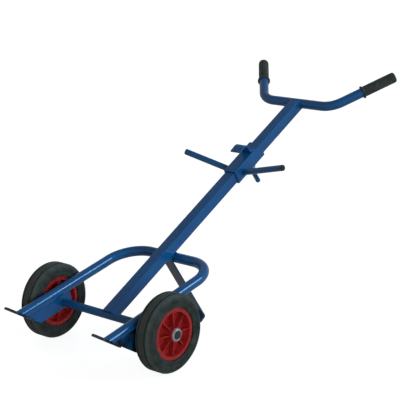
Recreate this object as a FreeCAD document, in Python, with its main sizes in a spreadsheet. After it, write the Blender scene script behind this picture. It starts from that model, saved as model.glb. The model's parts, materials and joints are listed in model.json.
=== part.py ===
import FreeCAD, Part
import math
import os
import Sketcher
from FreeCAD import Placement, Rotation, Vector

# A drum trolley: an inclined spine on a two-wheeled axle, a bent cradle hoop with
# two toes at the front, a rear leg to park on, a swan-neck handle bar, and a hook
# that slides on the spine and is clamped by a screw. Millimetres, +Z up, +Y back
# towards the handle, +X along the axle.

SIZES = {
    # Wheels and axle
    "wheel_radius": 117.5,
    "track_half": 241.5,
    "tyre_half_width": 31,
    "tyre_bead_half": 27.5,
    "tread_half_width": 21,
    "tread_groove_at": 10.5,
    "tread_groove_width": 7,
    "tread_groove_depth": 4.5,
    "tread_crown_drop": 2,
    "shoulder_depth": 11,
    "sidewall_round": 7,
    "sidewall_step": 2,
    "sidewall_step_radius": 96,
    "rim_lip_radius": 78.3,
    "rim_lip_half": 24,
    "rim_lip_thickness": 4,
    "rim_lip_round": 1.8,
    "rim_seat_radius": 71,
    "rim_wall": 5,
    "rim_draft": 4,
    "rim_web_thickness": 5,
    "hub_radius": 24,
    "hub_draft": 2,
    "hub_half": 31,
    "rib_thickness": 3,
    "rib_count": 8,
    "rib_hub_height": 24,
    "rib_rim_height": 17,
    "bush_radius": 16.5,
    "axle_radius": 12.5,
    "axle_bevel": 1.5,
    "collar_radius": 18,
    "washer_radius": 19,
    "washer_thickness": 2.5,
    "ring_radius": 17.2,
    "ring_thickness": 3,
    "ring_round": 1.4,
    "axle_end_land": 2.5,
    "running_gap": 0.06,
    "seat_gap": 0.05,
    "side_gap": 0.5,
    # Spine
    "spine_angle": 30.3,
    "spine_side": 38,
    "spine_wall": 2.5,
    "spine_corner": 4,
    "spine_inner_corner": 1.2,
    # Cradle hoop
    "hoop_angle": 14,
    "hoop_along": 305,
    "hoop_half": 184,
    "hoop_bend": 97,
    "hoop_radius": 16,
    "hoop_wall": 2.5,
    # Side plates
    "plate_thickness": 6,
    "plate_drop": 86.5,
    "plate_below": 21,
    "plate_behind": 36,
    "plate_corner": 6,
    # Toes
    "toe_angle": 30,
    "toe_drop": 82,
    "toe_reach": 232,
    "toe_length": 120,
    "toe_width": 12,
    "toe_thickness": 8,
    "toe_bevel": 2.5,
    "toe_seat_depth": 1.5,
    "toe_seat_gap": 1,
    # Rear leg
    "leg_angle": 54.5,
    "leg_along": 283.4,
    "leg_width": 38,
    "leg_thickness": 6,
    "leg_foot": 25,
    "leg_bend": 4.5,
    # Handle bar and grips
    "handle_along": 1061,
    "handle_corner_half": 143,
    "handle_end_half": 279,
    "handle_end_rise": 191.5,
    "handle_bend": 80,
    "handle_radius": 16,
    "handle_wall": 2,
    "grip_length": 124,
    "grip_wall": 2,
    "grip_cap": 4,
    "grip_round": 5,
    "grip_flange_radius": 22,
    "grip_flange_thickness": 6,
    "grip_flange_round": 2,
    # Hook slide
    "sleeve_along": 660,
    "sleeve_length": 150,
    "sleeve_wall": 5,
    "sleeve_gap": 0.5,
    "sleeve_corner": 5.5,
    "sleeve_inner_corner": 1.6,
    "hook_on_sleeve": 100,
    "hook_width": 40,
    "hook_thickness": 5.2,
    "hook_foot": 20,
    "hook_foot_bend": 8,
    "hook_height": 41,
    "hook_bend": 19,
    "hook_reach": 45,
    "hook_tip_drop": 3,
    "arm_on_sleeve": 34,
    "arm_level": -11,
    "arm_sweep": 15.5,
    "arm_length": 210,
    "arm_radius": 10,
    "arm_wall": 2,
    "arm_plug_depth": 12,
    "arm_plug_cap": 3,
    "arm_plug_round": 1.5,
    # Clamp screw
    "lock_on_sleeve": 97,
    "lock_nut_side": 14.5,
    "lock_nut_height": 15,
    "lock_nut_recess": 4.8,
    "lock_screw_radius": 6,
    "lock_pad_radius": 8,
    "lock_pad_thickness": 3.2,
    "lock_pad_hole_gap": 0.5,
    "lock_contact_gap": 0.3,
    "lock_bar_reach": 65,
    "lock_bar_radius": 8,
    "lock_bar_half": 48,
    "lock_bar_bevel": 1.5,
    "lock_bar_turn": 38,
    # Allowance by which every cut runs past what it cuts
    "overrun": 5,
}

doc = FreeCAD.newDocument("drum_trolley")
sizes = doc.addObject("Spreadsheet::Sheet", "sizes")
for row, (alias, number) in enumerate(SIZES.items(), start=1):
    sizes.set(f"A{row}", alias)
    sizes.set(f"B{row}", str(number))
    sizes.setAlias(f"B{row}", alias)
doc.recompute()

subparts = []


def size(text):
    """Number that an expression on the sheet gives."""
    return float(sizes.evalExpression(text))


def origin_item(body, role):
    """Origin plane or axis of a body, by its role."""
    return next(item for item in body.Origin.OriginFeatures if item.Role == role)


def new_body(label):
    """Empty body that becomes one sub-part."""
    body = doc.addObject("PartDesign::Body", label)
    body.Label = label
    subparts.append(body)
    return body


def new_sketch(body, role, lift="0", aside="0", turn=None):
    """Sketch on an origin plane of the body, lifted, set aside and turned about its Y axis."""
    sketch = body.newObject("Sketcher::SketchObject", body.Name + "_sketch")
    sketch.AttachmentSupport = [(origin_item(body, role), "")]
    sketch.MapMode = "FlatFace"
    if turn:
        sketch.AttachmentOffset = Placement(Vector(), Rotation(Vector(0, 1, 0), size(turn)))
        sketch.setExpression("AttachmentOffset.Rotation.Angle", turn)
    sketch.setExpression("AttachmentOffset.Base.x", aside)
    sketch.setExpression("AttachmentOffset.Base.z", lift)
    return sketch


def bind(sketch, kind, where, text):
    """Add a measured constraint and tie it to the sheet."""
    index = sketch.addConstraint(Sketcher.Constraint(kind, *where, size(text)))
    sketch.setExpression(f"Constraints[{index}]", text)


def pin_point(sketch, geometry, point, x, y):
    """Hold a point of the sketch at a place given by two expressions."""
    bind(sketch, "DistanceX", (-1, 1, geometry, point), x)
    bind(sketch, "DistanceY", (-1, 1, geometry, point), y)


def outline(sketch, corners):
    """Closed straight-sided outline through corners given as expressions."""
    first = sketch.GeometryCount
    points = [Vector(size(x), size(y), 0) for x, y in corners]
    count = len(points)
    for index in range(count):
        sketch.addGeometry(Part.LineSegment(points[index], points[(index + 1) % count]))
    for index in range(count):
        following = first + (index + 1) % count
        sketch.addConstraint(Sketcher.Constraint("Coincident", first + index, 2, following, 1))
    for index, (x, y) in enumerate(corners):
        pin_point(sketch, first + index, 1, x, y)


def circle(sketch, radius, x="0", y="0"):
    """Circle in a sketch."""
    centre = Vector(size(x), size(y), 0)
    index = sketch.addGeometry(Part.Circle(centre, Vector(0, 0, 1), size(radius)))
    pin_point(sketch, index, 3, x, y)
    bind(sketch, "Radius", (index,), radius)


def bent_path(sketch, corners, radii):
    """Open path through corners, with a tangent arc of its own radius at each bend."""
    points = [Vector(size(x), size(y), 0) for x, y in corners]
    starts = [points[0]]
    ends = []
    arcs = []
    for before, corner, after, radius in zip(points, points[1:], points[2:], radii):
        inward = (before - corner).normalize()
        onward = (after - corner).normalize()
        half_angle = inward.getAngle(onward) / 2
        bend = size(radius)
        run = bend / math.tan(half_angle)
        middle = (inward + onward).normalize()
        reach = (run ** 2 + bend ** 2) ** 0.5
        ends.append(corner + inward * run)
        starts.append(corner + onward * run)
        arcs.append(Part.Arc(ends[-1], corner + middle * (reach - bend), starts[-1]))
    ends.append(points[-1])
    lines = [sketch.addGeometry(Part.LineSegment(a, b)) for a, b in zip(starts, ends)]
    pin_point(sketch, lines[0], 1, *corners[0])
    pin_point(sketch, lines[-1], 2, *corners[-1])
    for number, (arc, radius) in enumerate(zip(arcs, radii)):
        before, after = lines[number], lines[number + 1]
        bend = sketch.addGeometry(arc)
        corner = sketch.addGeometry(Part.Point(points[number + 1]), True)
        pin_point(sketch, corner, 1, *corners[number + 1])
        sketch.addConstraint(Sketcher.Constraint("PointOnObject", corner, 1, before))
        sketch.addConstraint(Sketcher.Constraint("PointOnObject", corner, 1, after))
        ends_there = sketch.getPoint(bend, 1).distanceToPoint(ends[number])
        near = 1 if ends_there < sketch.getPoint(bend, 2).distanceToPoint(ends[number]) else 2
        sketch.addConstraint(Sketcher.Constraint("Tangent", before, 2, bend, near))
        sketch.addConstraint(Sketcher.Constraint("Tangent", bend, 3 - near, after, 1))
        bind(sketch, "Radius", (bend,), radius)


def pad(body, sketch, length, both_ways=False):
    """Extrude a sketch along its normal, or half each way."""
    feature = body.newObject("PartDesign::Pad", body.Name + "_pad")
    feature.Profile = sketch
    feature.SideType = "Symmetric" if both_ways else "One side"
    feature.setExpression("Length", length)
    doc.recompute()
    return feature


def pocket(body, sketch, length, both_ways=False):
    """Cut a sketch's outline out of a body, and make sure that it cut something."""
    before = body.Shape.Volume
    feature = body.newObject("PartDesign::Pocket", body.Name + "_pocket")
    feature.Profile = sketch
    feature.SideType = "Symmetric" if both_ways else "One side"
    feature.setExpression("Length", length)
    doc.recompute()
    if not body.Shape.Volume < before:
        raise RuntimeError(f"{feature.Name} cuts nothing")


def revolve(body, corners):
    """Turn an outline of radius and height pairs about the body's Z axis."""
    sketch = new_sketch(body, "XZ_Plane")
    outline(sketch, corners)
    feature = body.newObject("PartDesign::Revolution", body.Name + "_revolution")
    feature.Profile = sketch
    feature.ReferenceAxis = (origin_item(body, "Z_Axis"), [""])
    feature.Angle = 360
    doc.recompute()
    return feature


def edges_where(feature, wanted):
    """Names of the edges of a feature that pass a test."""
    edges = enumerate(feature.Shape.Edges, start=1)
    return [f"Edge{number}" for number, edge in edges if wanted(edge)]


def fillet(body, feature, radius, wanted):
    """Round the edges of a feature that pass a test."""
    rounded = body.newObject("PartDesign::Fillet", body.Name + "_fillet")
    rounded.Base = (feature, edges_where(feature, wanted))
    rounded.setExpression("Radius", radius)
    doc.recompute()
    return rounded


def sweep(body, profile, path):
    """Carry a profile along a path."""
    feature = body.newObject("PartDesign::AdditivePipe", body.Name + "_pipe")
    feature.Profile = profile
    feature.Spine = path
    doc.recompute()
    return feature


def is_near(number, text):
    """Whether a measured length is the one that an expression gives."""
    return abs(number - size(text)) < size("sizes.seat_gap") / 2


def pitched(angle, x="0", y="0", z="0"):
    """Frame at the axle's middle, pitched up about the axle, with an offset inside it."""
    axle = Placement(Vector(0, 0, size("sizes.wheel_radius")), Rotation())
    turn = Placement(Vector(), Rotation(Vector(1, 0, 0), size(angle)))
    return axle * turn * Placement(Vector(size(x), size(y), size(z)), Rotation())


SPINE = "sizes.spine_angle"
HOOP = "sizes.hoop_angle"
TOE = "-sizes.toe_angle"
ALONG = Rotation(Vector(1, 0, 0), -90)
SIDES = {"left": -1, "right": 1}
PLATE_FACE = "(sizes.hoop_half + sizes.hoop_radius + sizes.plate_thickness)"
MEETING = "(sizes.hoop_angle + sizes.toe_angle)"
TOE_SEAT = "(sizes.toe_drop + sizes.toe_seat_depth)"


def square_tube(label, kind, side, length, frame):
    """Square hollow section along the frame's Y axis, with rounded corners outside and inside."""
    body = new_body(label)
    sketch = new_sketch(body, "XY_Plane")
    outer = f"({side}) / 2"
    inner = f"{outer} - sizes.{kind}_wall"
    for half in (outer, inner):
        outline(sketch, [(f"-({half})", f"-({half})"), (half, f"-({half})"),
                         (half, half), (f"-({half})", half)])
    tube = pad(body, sketch, length)

    def corner_at(edge, half):
        middle = edge.CenterOfMass
        return is_near(abs(middle.x), half) and is_near(abs(middle.y), half)

    rounded = fillet(body, tube, f"sizes.{kind}_corner", lambda edge: corner_at(edge, outer))
    fillet(body, rounded, f"sizes.{kind}_inner_corner", lambda edge: corner_at(edge, inner))
    body.Placement = frame * Placement(Vector(), ALONG)
    return body


def make_spine():
    """Square spine, notched over the axle at its foot and under the handle bar at its top."""
    body = square_tube("spine_tube", "spine", "sizes.spine_side", "sizes.handle_along", pitched(SPINE))
    notch = new_sketch(body, "YZ_Plane")
    circle(notch, "sizes.axle_radius + sizes.seat_gap")
    circle(notch, "sizes.handle_radius + sizes.seat_gap", "0", "sizes.handle_along")
    pocket(body, notch, "sizes.spine_side + 2 * sizes.overrun", both_ways=True)


def make_hoop():
    """Bent cradle hoop under the spine, with its two front ends mitred to the toes."""
    lean = "(sizes.spine_angle - sizes.hoop_angle)"
    under = "-(sizes.spine_side / 2 + sizes.hoop_radius)"
    middle_y = f"(sizes.hoop_along * cos({lean}) - {under} * sin({lean}))"
    middle_z = f"(sizes.hoop_along * sin({lean}) + {under} * cos({lean}))"
    body = new_body("cradle_hoop")
    start = f"-({middle_y} + sizes.toe_reach)"
    path = new_sketch(body, "XY_Plane")
    bent_path(path, [("-sizes.hoop_half", start), ("-sizes.hoop_half", "0"),
                     ("sizes.hoop_half", "0"), ("sizes.hoop_half", start)],
              ["sizes.hoop_bend"] * 2)
    ring = new_sketch(body, "XZ_Plane", f"-({start})")
    circle(ring, "sizes.hoop_radius", "-sizes.hoop_half")
    circle(ring, "sizes.hoop_radius - sizes.hoop_wall", "-sizes.hoop_half")
    sweep(body, ring, path)
    mitre = new_sketch(body, "YZ_Plane")

    def on_toe(level):
        reach = f"-({TOE_SEAT} + ({level}) * cos({MEETING})) / sin({MEETING})"
        return (f"{reach} - {middle_y}", f"({level}) - {middle_z}")

    high = on_toe(f"{middle_z} + sizes.hoop_radius + sizes.overrun")
    low = on_toe(f"{middle_z} - sizes.hoop_radius - sizes.overrun")
    far = f"{start} - sizes.overrun"
    outline(mitre, [high, (far, high[1]), (far, low[1]), low])
    pocket(body, mitre, "2 * (sizes.hoop_half + sizes.hoop_radius + sizes.overrun)", both_ways=True)
    body.Placement = pitched(HOOP, y=middle_y, z=middle_z)
    return middle_z


def make_side_plates(hoop_level):
    """Axle plates welded to the outer flanks of the hoop's legs."""
    bottom = "-sizes.plate_below"
    starts = {"left": f"-{PLATE_FACE}", "right": f"{PLATE_FACE} - sizes.plate_thickness"}

    def front(level):
        return f"-(sizes.plate_drop + ({level}) * cos({MEETING})) / sin({MEETING})"

    for side, start in starts.items():
        body = new_body(f"side_plate_{side}")
        sketch = new_sketch(body, "YZ_Plane")
        outline(sketch, [(front(hoop_level), hoop_level), ("sizes.plate_behind", hoop_level),
                         ("sizes.plate_behind", bottom), (front(bottom), bottom)])
        circle(sketch, "sizes.axle_radius + sizes.seat_gap")
        plate = pad(body, sketch, "sizes.plate_thickness")

        def lower_corner(edge):
            middle = edge.CenterOfMass
            return is_near(middle.z, bottom) and is_near(middle.x, "sizes.plate_thickness / 2")

        fillet(body, plate, "sizes.plate_corner", lower_corner)
        body.Placement = pitched(HOOP, x=start)


def make_toes(hoop_level):
    """Flat toes under the mitred hoop ends, stepped down to seat them and bevelled at their tips."""
    half = "sizes.toe_width / 2"
    top = "-sizes.toe_drop"
    under = "-sizes.toe_drop - sizes.toe_thickness"
    tip = "-sizes.toe_reach"
    tail = "sizes.toe_length - sizes.toe_reach"
    tube_front = f"({TOE_SEAT} * cos({MEETING}) + {hoop_level} + sizes.hoop_radius) / sin({MEETING})"
    step = f"-({tube_front}) - sizes.toe_seat_gap"
    starts = {"left": f"-sizes.hoop_half - {half}", "right": f"sizes.hoop_half - {half}"}
    for side, start in starts.items():
        body = new_body(f"toe_{side}")
        sketch = new_sketch(body, "YZ_Plane")
        outline(sketch, [(tip, under), (tail, under), (tail, f"-{TOE_SEAT}"), (step, f"-{TOE_SEAT}"),
                         (step, top), (f"{tip} + sizes.toe_bevel", top),
                         (tip, f"{top} - sizes.toe_bevel")])
        pad(body, sketch, "sizes.toe_width")
        body.Placement = pitched(TOE, x=start)


def make_leg():
    """Rear leg of flat bar under the spine, bent forward into a foot that touches the floor."""
    body = new_body("rear_leg")
    lean = "(sizes.spine_angle + sizes.leg_angle)"
    half = "sizes.leg_thickness / 2"
    wide = "sizes.leg_width / 2"
    root = ("(sizes.wheel_radius + sizes.leg_along * sin(sizes.spine_angle)"
            " - sizes.spine_side / 2 * cos(sizes.spine_angle))")
    knee = f"({root} - sizes.leg_foot * cos(sizes.leg_angle)) / sin(sizes.leg_angle) - {half}"
    path = new_sketch(body, "YZ_Plane")
    bent_path(path, [("-sizes.overrun", "0"), (knee, "0"), (knee, "-sizes.leg_foot")],
              ["sizes.leg_bend"])
    strip = new_sketch(body, "XZ_Plane", "sizes.overrun")
    outline(strip, [(f"-{wide}", f"-{half}"), (wide, f"-{half}"), (wide, half), (f"-{wide}", half)])
    sweep(body, strip, path)
    trim = new_sketch(body, "YZ_Plane")
    reach = "(sizes.leg_thickness + sizes.overrun)"
    slope = (f"{reach} * cos({lean})", f"{reach} * sin({lean})")
    outline(trim, [(f"-{slope[0]}", f"-{slope[1]}"), slope, (f"-2 * {reach}", slope[1]),
                   (f"-2 * {reach}", f"-{slope[1]}")])
    pocket(body, trim, "sizes.leg_width + 2 * sizes.overrun", both_ways=True)
    turn = Placement(Vector(), Rotation(Vector(1, 0, 0), -size(lean)))
    body.Placement = pitched(SPINE, y="sizes.leg_along", z="-sizes.spine_side / 2") * turn


def make_handle():
    """Handle bar: a crossbar on the spine's top, swept up and out to the two grips."""
    body = new_body("handle_bar")
    path = new_sketch(body, "XY_Plane")
    bent_path(path, [("-sizes.handle_end_half", "sizes.handle_end_rise"),
                     ("-sizes.handle_corner_half", "0"), ("sizes.handle_corner_half", "0"),
                     ("sizes.handle_end_half", "sizes.handle_end_rise")],
              ["sizes.handle_bend"] * 2)
    splay = "atan2(sizes.handle_end_half - sizes.handle_corner_half; sizes.handle_end_rise)"
    ring = new_sketch(body, "XZ_Plane", "-sizes.handle_end_rise", "-sizes.handle_end_half", splay)
    circle(ring, "sizes.handle_radius")
    circle(ring, "sizes.handle_radius - sizes.handle_wall")
    sweep(body, ring, path)
    body.Placement = pitched(SPINE, y="sizes.handle_along")
    for side, sign in SIDES.items():
        end = Placement(Vector(sign * size("sizes.handle_end_half"),
                               size("sizes.handle_end_rise"), 0), Rotation())
        turn = Placement(Vector(), Rotation(Vector(0, 0, 1), -sign * size(splay)) * ALONG)
        make_grip(side, body.Placement * end * turn)


def make_grip(side, frame):
    """Closed plastic grip pushed over the tube's end, with a stop flange."""
    body = new_body(f"grip_{side}")
    bore = "sizes.handle_radius + sizes.seat_gap"
    skin = f"{bore} + sizes.grip_wall"
    mouth = "sizes.grip_cap - sizes.grip_length"
    flange = f"{mouth} + sizes.grip_flange_thickness"
    grip = revolve(body, [("0", "sizes.seat_gap"), (bore, "sizes.seat_gap"), (bore, mouth),
                          ("sizes.grip_flange_radius", mouth),
                          ("sizes.grip_flange_radius", flange),
                          (skin, flange), (skin, "sizes.grip_cap"), ("0", "sizes.grip_cap")])

    def closed_end(edge):
        return is_near(edge.BoundBox.ZMax, "sizes.grip_cap") and is_near(
            edge.BoundBox.XMax, skin) and edge.BoundBox.ZLength < size("sizes.seat_gap")

    def flange_rim(edge):
        return is_near(edge.BoundBox.XMax, "sizes.grip_flange_radius") and (
            edge.BoundBox.ZLength < size("sizes.seat_gap"))

    rounded = fillet(body, grip, "sizes.grip_round", closed_end)
    fillet(body, rounded, "sizes.grip_flange_round", flange_rim)
    body.Placement = frame


def across(x, outward=1):
    """Frame on the axle whose Z axis points out along it."""
    spot = Placement(Vector(x, 0, size("sizes.wheel_radius")), Rotation())
    return spot * Placement(Vector(), Rotation(Vector(0, 1, 0), 90 * outward))


HUB_END = "(sizes.track_half + sizes.hub_half)"
WASHER_AT = f"({HUB_END} + sizes.side_gap)"
RING_AT = f"({WASHER_AT} + sizes.washer_thickness)"
AXLE_END = f"({RING_AT} + sizes.ring_thickness + sizes.axle_end_land)"


def mirrored_outline(half):
    """Outline of a turned piece, the same on both sides of its middle plane."""
    return half + [(radius, f"-({height})") for radius, height in reversed(half)]


def make_axle():
    """Round axle with bevelled ends."""
    body = new_body("axle_bar")
    nose = "sizes.axle_radius - sizes.axle_bevel"
    revolve(body, mirrored_outline([("0", AXLE_END), (nose, AXLE_END),
                                    ("sizes.axle_radius", f"{AXLE_END} - sizes.axle_bevel")]))
    body.Placement = across(0)


def make_ring(label, bore, radius, start, end, sign):
    """Flat ring on the axle between two places along it."""
    body = new_body(label)
    ring = revolve(body, [(bore, start), (radius, start), (radius, end), (bore, end)])
    body.Placement = across(0, sign)
    return body, ring


def make_axle_fittings():
    """Collar, washer and push-on ring at each end of the axle."""
    hub_start = "(sizes.track_half - sizes.hub_half)"
    bore = "sizes.axle_radius + sizes.seat_gap"
    for side, sign in SIDES.items():
        make_ring(f"axle_collar_{side}", bore, "sizes.collar_radius", PLATE_FACE,
                  f"{hub_start} - sizes.side_gap", sign)
        make_ring(f"wheel_washer_{side}", bore, "sizes.washer_radius", WASHER_AT, RING_AT, sign)
        ring_end = f"{RING_AT} + sizes.ring_thickness"
        body, ring = make_ring(f"retaining_ring_{side}", bore, "sizes.ring_radius", RING_AT,
                               ring_end, sign)

        def outer_rim(edge):
            return is_near(edge.BoundBox.ZMin, ring_end) and is_near(
                edge.BoundBox.XMax, "sizes.ring_radius")

        fillet(body, ring, "sizes.ring_round", outer_rim)


def make_tyre(side, frame):
    """Solid rubber tyre with two tread grooves, seated between the rim's lips."""
    body = new_body(f"tyre_{side}")
    seat = "sizes.rim_seat_radius + sizes.seat_gap"
    over_lip = "sizes.rim_lip_radius + sizes.seat_gap"
    lip_in = "sizes.rim_lip_half - sizes.rim_lip_thickness - sizes.seat_gap"
    groove_end = "sizes.tread_groove_at + sizes.tread_groove_width"
    floor = "sizes.wheel_radius - sizes.tread_groove_depth"
    edge_radius = "sizes.wheel_radius - sizes.tread_crown_drop"
    wall_top = f"{edge_radius} - sizes.shoulder_depth"
    step = "sizes.tyre_half_width - sizes.sidewall_step"
    wall_foot = f"{over_lip} + sizes.sidewall_round"
    tyre = revolve(body, mirrored_outline([
        ("sizes.wheel_radius", "sizes.tread_groove_at"), (floor, "sizes.tread_groove_at"),
        (floor, groove_end), ("sizes.wheel_radius", groove_end),
        (edge_radius, "sizes.tread_half_width"), (wall_top, "sizes.tyre_half_width"),
        ("sizes.sidewall_step_radius", "sizes.tyre_half_width"),
        ("sizes.sidewall_step_radius - sizes.sidewall_step", step), (wall_foot, step),
        (over_lip, "sizes.tyre_bead_half"), (over_lip, lip_in), (seat, lip_in)]))

    def at_ring(edge, radius, height):
        return is_near(edge.BoundBox.XMax, radius) and is_near(abs(edge.BoundBox.ZMax), height) and (
            edge.BoundBox.ZLength < size("sizes.seat_gap"))

    def wall_edge(edge):
        return at_ring(edge, wall_top, "sizes.tyre_half_width") or at_ring(edge, wall_foot, step)

    def shoulder(edge):
        return at_ring(edge, edge_radius, "sizes.tread_half_width")

    rounded = fillet(body, tyre, "sizes.sidewall_round", wall_edge)
    fillet(body, rounded, "sizes.sidewall_round", shoulder)
    body.Placement = frame


def make_rim(side, frame):
    """Moulded wheel centre: hub, thin web, radial ribs on both faces and a lipped rim."""
    body = new_body(f"wheel_rim_{side}")
    bore = "sizes.bush_radius + sizes.seat_gap"
    web = "sizes.rim_web_thickness / 2"
    inside = "sizes.rim_seat_radius - sizes.rim_wall"
    lip_in = "sizes.rim_lip_half - sizes.rim_lip_thickness"
    rim = revolve(body, mirrored_outline([
        (f"{inside} - sizes.rim_draft", web), (inside, "sizes.rim_lip_half"),
        ("sizes.rim_lip_radius", "sizes.rim_lip_half"), ("sizes.rim_lip_radius", lip_in),
        ("sizes.rim_seat_radius", lip_in)]) + mirrored_outline([
            ("sizes.hub_radius", f"-{web}"),
            ("sizes.hub_radius - sizes.hub_draft", "-sizes.hub_half"), (bore, "-sizes.hub_half")]))

    def lip_rim(edge):
        return is_near(edge.BoundBox.XMax, "sizes.rim_lip_radius") and (
            edge.BoundBox.ZLength < size("sizes.seat_gap"))

    fillet(body, rim, "sizes.rim_lip_round", lip_rim)
    rib = new_sketch(body, "XZ_Plane")
    root = "(sizes.bush_radius + sizes.hub_radius) / 2"
    top = "sizes.rim_seat_radius - sizes.rim_wall / 2"
    outline(rib, [(root, "-sizes.rib_hub_height"), (top, "-sizes.rib_rim_height"),
                  (top, "sizes.rib_rim_height"), (root, "sizes.rib_hub_height")])
    blade = pad(body, rib, "sizes.rib_thickness", both_ways=True)
    ribs = body.newObject("PartDesign::PolarPattern", body.Name + "_ribs")
    ribs.Originals = [blade]
    ribs.Axis = (origin_item(body, "Z_Axis"), [""])
    ribs.Angle = 360
    ribs.setExpression("Occurrences", "sizes.rib_count")
    body.Tip = ribs
    doc.recompute()
    body.Placement = frame


def make_bush(side, frame):
    """Plain bearing bush pressed in the hub."""
    body = new_body(f"hub_bush_{side}")
    bore = "sizes.axle_radius + sizes.running_gap"
    revolve(body, [(bore, "-sizes.hub_half"), ("sizes.bush_radius", "-sizes.hub_half"),
                   ("sizes.bush_radius", "sizes.hub_half"), (bore, "sizes.hub_half")])
    body.Placement = frame


def make_wheels():
    """Both wheels, each a tyre, a moulded centre and a bush."""
    for side, sign in SIDES.items():
        frame = across(sign * size("sizes.track_half"), sign)
        make_tyre(side, frame)
        make_rim(side, frame)
        make_bush(side, frame)


SLEEVE_SIDE = "(sizes.spine_side + 2 * (sizes.sleeve_gap + sizes.sleeve_wall))"
PAD_HOLE = "(sizes.lock_pad_radius + sizes.lock_pad_hole_gap)"


HOOK_AT = "(sizes.sleeve_along + sizes.hook_on_sleeve)"


def make_sleeve():
    """Square sleeve that slides on the spine, drilled for the clamp pad."""
    body = square_tube("hook_sleeve", "sleeve", SLEEVE_SIDE, "sizes.sleeve_length",
                       pitched(SPINE, y="sizes.sleeve_along"))
    hole = new_sketch(body, "XZ_Plane")
    circle(hole, PAD_HOLE, "0", "sizes.lock_on_sleeve")
    pocket(body, hole, f"{SLEEVE_SIDE} / 2 + sizes.overrun")


def make_hook():
    """Hook bent from flat plate, welded on the load face of the sleeve."""
    body = new_body("chime_hook")
    half = "sizes.hook_thickness / 2"
    foot = f"{SLEEVE_SIDE} / 2 + {half}"
    crown = f"{SLEEVE_SIDE} / 2 + sizes.hook_height - {half}"
    path = new_sketch(body, "YZ_Plane")
    bent_path(path, [(f"{HOOK_AT} + sizes.hook_foot", foot), (HOOK_AT, foot), (HOOK_AT, crown),
                     (f"{HOOK_AT} - sizes.hook_reach", f"{crown} - sizes.hook_tip_drop")],
              ["sizes.hook_foot_bend", "sizes.hook_bend"])
    strip = new_sketch(body, "XZ_Plane", f"-({HOOK_AT} + sizes.hook_foot)")
    wide = "sizes.hook_width / 2"
    outline(strip, [(f"-{wide}", f"{foot} - {half}"), (wide, f"{foot} - {half}"),
                    (wide, f"{foot} + {half}"), (f"-{wide}", f"{foot} + {half}")])
    sweep(body, strip, path)
    body.Placement = pitched(SPINE)


def primitive(kind, label, **bindings):
    """Part primitive whose sizes are tied to the sheet."""
    item = doc.addObject(f"Part::{kind}", label)
    for name, text in bindings.items():
        item.setExpression(name, text)
    return item


def cut(label, base, tool):
    """Boolean difference of two objects."""
    item = doc.addObject("Part::Cut", label)
    item.Base = base
    item.Tool = tool
    item.Label = label
    doc.recompute()
    return item


def make_arms():
    """Round steadying arms of the slide, swept towards the load, with plugged ends."""
    for side, sign in SIDES.items():
        tilt = sign * size("90 - sizes.arm_sweep")
        root = pitched(SPINE, y="sizes.sleeve_along + sizes.arm_on_sleeve", z="sizes.arm_level")
        aim = root * Placement(Vector(), Rotation(Vector(0, 1, 0), tilt))
        skin = primitive("Cylinder", f"arm_skin_{side}", Radius="sizes.arm_radius",
                         Height="sizes.arm_length")
        core = primitive("Cylinder", f"arm_core_{side}",
                         Radius="sizes.arm_radius - sizes.arm_wall",
                         Height="sizes.arm_length + sizes.overrun")
        skin.Placement = aim
        core.Placement = aim
        tube = cut(f"arm_tube_{side}", skin, core)
        block = primitive("Box", f"arm_trim_{side}", Length=SLEEVE_SIDE, Width=SLEEVE_SIDE,
                          Height=SLEEVE_SIDE)
        half = -size(SLEEVE_SIDE) / 2
        block.Placement = root * Placement(Vector(half, half, half), Rotation())
        arm = cut(f"slide_arm_{side}", tube, block)
        subparts.append(arm)
        make_arm_plug(side, aim)


def make_arm_plug(side, aim):
    """Plastic plug in the open end of an arm."""
    body = new_body(f"arm_plug_{side}")
    stem = "sizes.arm_radius - sizes.arm_wall - sizes.seat_gap"
    end = "sizes.arm_length"
    top = f"{end} + sizes.arm_plug_cap"
    plug = revolve(body, [("0", f"{end} - sizes.arm_plug_depth"),
                          (stem, f"{end} - sizes.arm_plug_depth"), (stem, end),
                          ("sizes.arm_radius", end), ("sizes.arm_radius", top), ("0", top)])

    def cap_rim(edge):
        return is_near(edge.BoundBox.ZMin, top) and is_near(edge.BoundBox.XMax, "sizes.arm_radius")

    fillet(body, plug, "sizes.arm_plug_round", cap_rim)
    body.Placement = aim


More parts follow.
